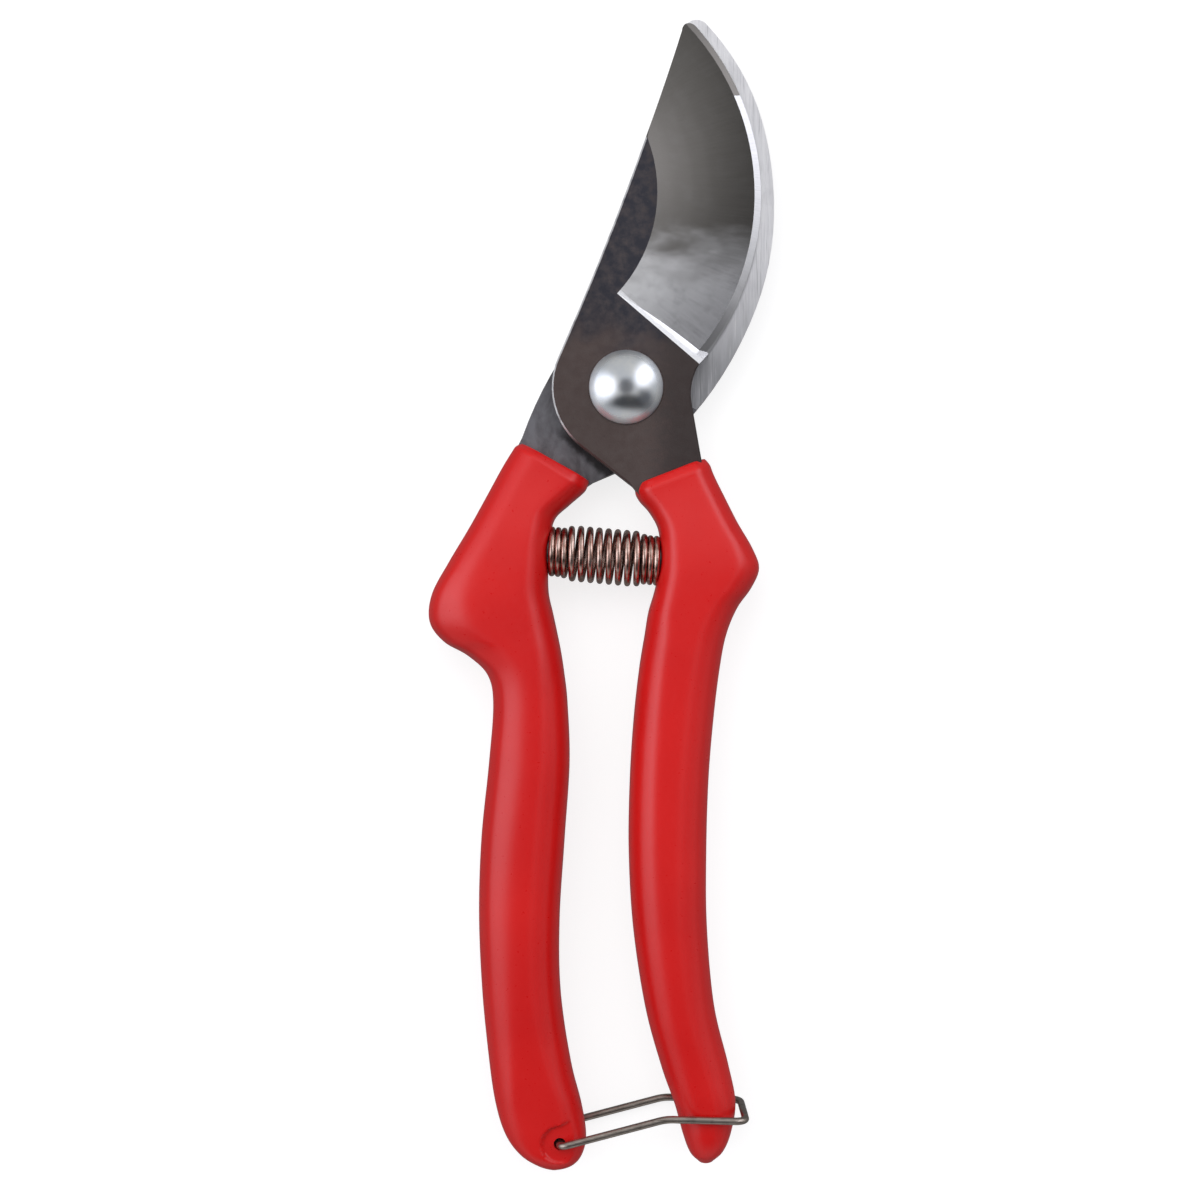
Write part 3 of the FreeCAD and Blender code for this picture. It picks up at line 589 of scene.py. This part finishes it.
def catmull(values, at):
    """Value of a smooth curve through evenly numbered values, at a fractional place along them."""
    i = min(int(at), len(values) - 2)
    t = at - i
    p1, p2 = values[i], values[i + 1]
    p0 = values[i - 1] if i > 0 else 2 * p1 - p2
    p3 = values[i + 2] if i + 2 < len(values) else 2 * p2 - p1
    return 0.5 * (2 * p1 + (p2 - p0) * t + (2 * p0 - 5 * p1 + 4 * p2 - p3) * t * t
                  + (3 * p1 - p0 - 3 * p2 + p3) * t ** 3)


def smooth_sections(sections, step):
    """Sections about step apart along a smooth handle.

    Each is its centre, the direction across, half its width, half its height and its squareness.
    """
    rows = [(*a, *b, t, n) for a, b, t, n in sections]
    columns = list(zip(*rows))
    places = []
    for i in range(len(rows) - 1):
        a, b = rows[i], rows[i + 1]
        reach = max(math.dist(a[:2], b[:2]), math.dist(a[2:4], b[2:4]))
        parts = max(1, round(reach / step(0.5 * (a[1] + b[1]))))
        places += [i + k / parts for k in range(parts)]
    places.append(len(rows) - 1)
    made = []
    for at in places:
        lx, ly, rx, ry, thick, square = (catmull(c, at) for c in columns)
        left, right = Vector((lx, ly, MID)), Vector((rx, ry, MID))
        wide = right - left
        made.append(((left + right) / 2, wide.normalized(), wide.length / 2, thick / 2, square))
    return made


def ring_points(crests, centre, along, half, height, square, inset=0.0, side_inset=0.0):
    """One closed ring of a grip, drawn in by inset above and below and by side_inset at its sides."""
    heights, left, right = zip(*reversed(crests))
    sides = np.interp(centre.y, heights, left), np.interp(centre.y, heights, right)
    points = outline(half - side_inset, height - inset, square, sides, np.interp(centre.y, *BOXINESS))
    return [centre + along * x + UP * z for x, z in points]


def grip_mesh(sections, crests, step):
    """A grip as one closed skin: mouth face, rolled lip, handle and rounded tail."""
    rows = smooth_sections(sections, step)
    rings = []
    centre, along, half, height, square = rows[0]
    for share in MOUTH_RINGS:
        size = (half - LIP_SIDE) * share, (height - LIP_R) * share
        rings.append(ring_points(crests, centre, along, *size, square))
    for back, drop in LIP:
        rings.append(ring_points(crests, *sample(rows, LIP_R * back), LIP_R * drop, LIP_SIDE * drop))
    rings += [ring_points(crests, *row) for row in rows_after(rows, LIP_R)]
    end, along, half, height, square = rows[-1]
    onward = (end - rows[-3][0]).normalized()
    for share, ahead in TAIL_RINGS:
        rings.append(ring_points(crests, end + onward * ahead, along, half * share, height * share, square))
    return skin(rings, centre, end + onward * TAIL_END)


def sample(rows, distance):
    """The section at a distance along the handle from its mouth."""
    travelled = 0.0
    for a, b in zip(rows, rows[1:]):
        gap = (b[0] - a[0]).length
        if travelled + gap >= distance:
            t = (distance - travelled) / gap
            return (a[0].lerp(b[0], t), a[1].lerp(b[1], t).normalized(), a[2] + (b[2] - a[2]) * t,
                    a[3] + (b[3] - a[3]) * t, a[4] + (b[4] - a[4]) * t)
        travelled += gap
    return rows[-1]


def rows_after(rows, distance):
    """The sections further than a distance from the mouth."""
    travelled, kept = 0.0, []
    for a, b in zip(rows, rows[1:]):
        travelled += (b[0] - a[0]).length
        if travelled > distance + LEAST_GAP:
            kept.append(b)
    return kept


def ease(share):
    """A share between 0 and 1, with a soft start and end."""
    share = min(max(share, 0.0), 1.0)
    return share * share * (3 - 2 * share)


def press_pockets(mesh):
    """Presses the shallow pocket round the catch hole into both faces of a tail."""
    cx, cy = CATCH
    for v in mesh.vertices:
        x, y, z = v.co.x - cx, v.co.y - cy, v.co.z - MID
        if x > 0:
            top = POCKET_R + x * 0.5
            outside = max(y - top, -POCKET_R - y)
        else:
            outside = math.hypot(x, y) - POCKET_R
        share = ease(0.5 - outside / POCKET_EDGE)
        if share and abs(z) > POCKET_FLOOR:
            goal = math.copysign(POCKET_FLOOR, z)
            v.co.z += (goal - z) * share


def drill(piece, x, y, radius):
    """Cuts a round hole along Z through a piece, at a place in millimetres."""
    bm = bmesh.new()
    bmesh.ops.create_cone(bm, segments=48, radius1=radius * MM, radius2=radius * MM, depth=40 * MM,
                          cap_ends=True, matrix=Matrix.Translation((x * MM, y * MM, MID * MM)))
    mesh = bpy.data.meshes.new("drill")
    bm.to_mesh(mesh)
    bm.free()
    tool = bpy.data.objects.new("drill", mesh)
    bpy.context.scene.collection.objects.link(tool)
    cut = piece.modifiers.new("hole", "BOOLEAN")
    cut.operation, cut.object, cut.solver = "DIFFERENCE", tool, "EXACT"
    bpy.context.view_layer.update()
    done = bpy.data.meshes.new_from_object(piece.evaluated_get(bpy.context.evaluated_depsgraph_get()))
    piece.modifiers.clear()
    piece.data = done
    bpy.data.objects.remove(tool)


def spacing(y):
    """Spacing of a grip's sections at a height Y: finer towards the mouth and the tail."""
    if y < -128:
        return 0.3
    return 0.7 if y > -55 else 1.0


for node, sections, crests, body in (("hook_grip", HOOK_GRIP, HOOK_CRESTS, "hook_half"),
                                     ("blade_grip", BLADE_GRIP, BLADE_CRESTS, "blade_half")):
    shape = grip_mesh(sections, crests, spacing)
    with_catch = node == "hook_grip"
    if with_catch:
        press_pockets(shape)
    grip = make_object(node + "_skin", shape, "grip_pvc", 40)
    if with_catch:
        drill(grip, *CATCH, CATCH_HOLE_R)
    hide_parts(node)
    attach(grip, body)


# ---- return spring ----------------------------------------------------------------------------------------
def spring_mesh():
    """Round wire along a coil: close turns at both ends, a wider open body between them."""
    along = (SEAT_B - SEAT_A).normalized()
    side = along.cross(UP)
    length = (SEAT_B - SEAT_A).length - 2 * WIRE_R + 2 * SEAT_DEPTH
    turns = 2 * END_TURNS + BODY_TURNS
    body_pitch = (length - 2 * END_TURNS * END_PITCH) / BODY_TURNS
    per_turn, sides = 48, 16
    path, spokes = [], []
    for i in range(turns * per_turn + 1):
        n = i / per_turn
        share = ease((min(n, turns - n) - END_TURNS + WIDEN / 2) / WIDEN)
        if n <= END_TURNS:
            travel = n * END_PITCH
        elif n >= turns - END_TURNS:
            travel = length - (turns - n) * END_PITCH
        else:
            travel = END_TURNS * END_PITCH + (n - END_TURNS) * body_pitch
        angle = 2 * math.pi * n + math.pi
        spoke = UP * math.cos(angle) + side * math.sin(angle)
        radius = END_R + (BODY_R - END_R) * share
        path.append(SEAT_A + along * (travel + WIRE_R - SEAT_DEPTH) + spoke * radius)
        spokes.append(spoke)
    rings = []
    for i, (point, spoke) in enumerate(zip(path, spokes)):
        tangent = (path[min(i + 1, len(path) - 1)] - path[max(i - 1, 0)]).normalized()
        other = tangent.cross(spoke).normalized()
        normal = other.cross(tangent)
        rings.append([point + (normal * math.cos(t) + other * math.sin(t)) * WIRE_R
                      for t in (2 * math.pi * k / sides for k in range(sides))])
    return skin(rings, path[0], path[-1])


spring = make_object("return_spring_coil", spring_mesh(), "spring_steel", 50)
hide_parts("return_spring")
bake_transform(spring)


# ---- pivot bolt -------------------------------------------------------------------------------------------
def lathe(profile, segments=96):
    """A closed solid of revolution about Z from (radius, height) points, first and last on the axis."""
    rings = [[Vector((r * math.cos(a), r * math.sin(a), z))
              for a in (2 * math.pi * k / segments for k in range(segments))] for r, z in profile[1:-1]]
    return skin(rings, Vector((0, 0, profile[0][1])), Vector((0, 0, profile[-1][1])))


def bolt_profile():
    """Crown, dome, rolled rim, underside, shank with a rolled thread, chamfered end with a centre mark."""
    dome_h = HEAD_H - HEAD_RIM
    dome_r = (HEAD_R ** 2 + dome_h ** 2) / (2 * dome_h)
    top = BLADE_TOP + HEAD_H
    widest = math.asin((HEAD_R - 0.12) / dome_r)
    points = [(0.0, top)]
    for k in range(1, 29):
        a = widest * k / 28
        points.append((dome_r * math.sin(a), top - dome_r + dome_r * math.cos(a)))
    rim = BLADE_TOP + HEAD_RIM
    points += [(HEAD_R - 0.03, rim + 0.02), (HEAD_R, rim - 0.08), (HEAD_R, BLADE_TOP + 0.10),
               (HEAD_R - 0.05, BLADE_TOP + 0.03), (HEAD_R - 0.15, BLADE_TOP + 0.002),
               (SHANK_R, BLADE_TOP + 0.002)]
    z = 6.9
    points.append((SHANK_R, z))
    while z > 0.9:
        points += [(SHANK_R, z), (THREAD_R, z - 0.25), (SHANK_R, z - 0.5)]
        z -= THREAD_PITCH
    points += [(2.98, 0.45), (2.6, 0.02), (1.1, 0.0), (0.9, 0.12), (0.0, 0.55)]
    return points


bolt = make_object("pivot_bolt_turned", lathe(bolt_profile()), "zinc_plated", 35)
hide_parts("pivot_bolt")
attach(bolt, "blade_half")

KEPT_NODES = {"cutting_blade": "blade_steel", "hook_blade": "hook_steel", "disc_washer": "washer_steel",
              "pivot_nut": "zinc_plated", "hook_spring_stud": "washer_steel",
              "blade_spring_stud": "washer_steel", "catch_wire": "catch_steel"}
for node, slot in KEPT_NODES.items():
    piece = frame["nodes"][node]
    piece.data.materials.clear()
    piece.data.materials.append(MATERIALS[slot])


# ---- floor, light and camera ------------------------------------------------------------------------------
def link(name, data):
    """Adds an object to the scene."""
    made = bpy.data.objects.new(name, data)
    bpy.context.scene.collection.objects.link(made)
    return made


def backdrop():
    """A pale floor that curves up into pale walls. It is seen, but the light passes through it."""
    look = Look("backdrop_paper")
    grain = look.noise(0.02, 3.0)
    look.set(Base_Color=look.mix(grain, (0.27, 0.27, 0.27), (0.30, 0.30, 0.30)), Roughness=0.8)
    look.set(Specular_IOR_Level=0.2, Emission_Strength=0.80)
    look.shader.inputs["Emission Color"].default_value = (1.0, 1.0, 1.0, 1.0)
    profile = [(FLAT_R * k / 6, 0.0) for k in range(1, 7)]
    for t in (math.radians(6 * k) for k in range(1, 16)):
        profile.append((FLAT_R + COVE_R * math.sin(t), COVE_R * (1 - math.cos(t))))
    profile.append((FLAT_R + COVE_R, COVE_R * 2.5))
    around = [2 * math.pi * k / 96 for k in range(96)]
    bm = bmesh.new()
    rows = [[bm.verts.new((reach * math.cos(t), reach * math.sin(t), height)) for t in around]
            for reach, height in profile]
    middle = bm.verts.new((0, 0, 0))
    for i in range(len(around)):
        j = (i + 1) % len(around)
        bm.faces.new((middle, rows[0][i], rows[0][j]))
        for a, b in zip(rows, rows[1:]):
            bm.faces.new((a[i], b[i], b[j], a[j]))
    mesh = bpy.data.meshes.new("backdrop")
    bm.to_mesh(mesh)
    bm.free()
    for face in mesh.polygons:
        face.use_smooth = True
    mesh.materials.append(look.material)
    made = link("backdrop", mesh)
    made.location = (0, 0, -FLOOR_DROP)
    made.visible_glossy = made.visible_diffuse = made.visible_shadow = False


def softbox(name, place, size, radiance):
    """A square light that faces the tool and is not seen in reflections."""
    light = bpy.data.lights.new(name, "AREA")
    light.shape, light.size, light.size_y = "RECTANGLE", size, size
    light.energy = radiance * math.pi * size * size
    made = link(name, light)
    made.location = place
    made.rotation_euler = (Vector(LOOK_AT) - Vector(place)).to_track_quat("-Z", "Y").to_euler()
    made.visible_glossy = False


def world():
    """Pale walls, a dimmer ceiling, two bright windows and three dark shapes of the room as soft patches."""
    made = bpy.data.worlds.new("studio")
    made.use_nodes = True
    tree = made.node_tree
    background = tree.nodes["Background"]

    def add(kind, feed=(), **settings):
        """A node with its first inputs joined to other nodes' outputs."""
        node = tree.nodes.new("ShaderNode" + kind)
        for key, value in settings.items():
            setattr(node, key, value)
        for output, socket in zip(feed, node.inputs):
            tree.links.new(output, socket)
        return node

    facing = add("TexCoord").outputs["Generated"]
    split = add("SeparateXYZ", [facing])
    height = add("MapRange", [split.outputs["Z"]])
    height.inputs["From Min"].default_value = -1.0
    ramp = add("ValToRGB", [height.outputs[0]])
    stops = ramp.color_ramp.elements
    for at, grey in WORLD_RAMP:
        stop = stops[0] if at == 0 else stops[-1] if at == 1 else stops.new(at)
        stop.position, stop.color = at, (grey, grey, grey * 1.02, 1)
    above = add("MapRange", [split.outputs["Z"]], interpolation_type="SMOOTHSTEP")
    above.inputs["From Max"].default_value = HORIZON
    colour = ramp.outputs[0]
    for x, y, wide, deep, core, grey in WORLD_PATCHES:
        move = add("VectorMath", [facing], operation="SUBTRACT")
        move.inputs[1].default_value = (x, y, 0)
        size = add("VectorMath", [move.outputs[0]], operation="MULTIPLY")
        size.inputs[1].default_value = (1 / wide, 1 / deep, 0)
        length = add("VectorMath", [size.outputs[0]], operation="LENGTH")
        share = add("MapRange", [length.outputs["Value"]], interpolation_type="SMOOTHSTEP")
        for socket, value in zip(list(share.inputs)[1:5], (1.0, core, 0.0, 1.0)):
            socket.default_value = value
        shown = add("Math", [share.outputs[0], above.outputs[0]], operation="MULTIPLY")
        mix = add("Mix", data_type="RGBA")
        tree.links.new(shown.outputs[0], mix.inputs[0])
        tree.links.new(colour, mix.inputs[6])
        mix.inputs[7].default_value = (grey, grey, grey * 1.08, 1)
        colour = mix.outputs[2]
    tree.links.new(colour, background.inputs["Color"])
    background.inputs["Strength"].default_value = 1.0
    bpy.context.scene.world = made


backdrop()
world()
softbox("key_box", (-0.06, 0.16, 0.36), 0.35, 2.05)
softbox("fill_box", (0.42, -0.42, 0.24), 0.50, 0.45)

camera_data = bpy.data.cameras.new("camera")
camera_data.sensor_width = SENSOR
camera_data.lens = LENS
camera_data.clip_start, camera_data.clip_end = 0.01, 20.0
camera = link("camera", camera_data)
camera.location = (LOOK_AT[0], LOOK_AT[1], CAMERA_HEIGHT)
bpy.context.scene.camera = camera
bpy.context.scene.view_settings.view_transform = "Standard"
bpy.context.scene.view_settings.look = "None"

bpy.context.view_layer.update()
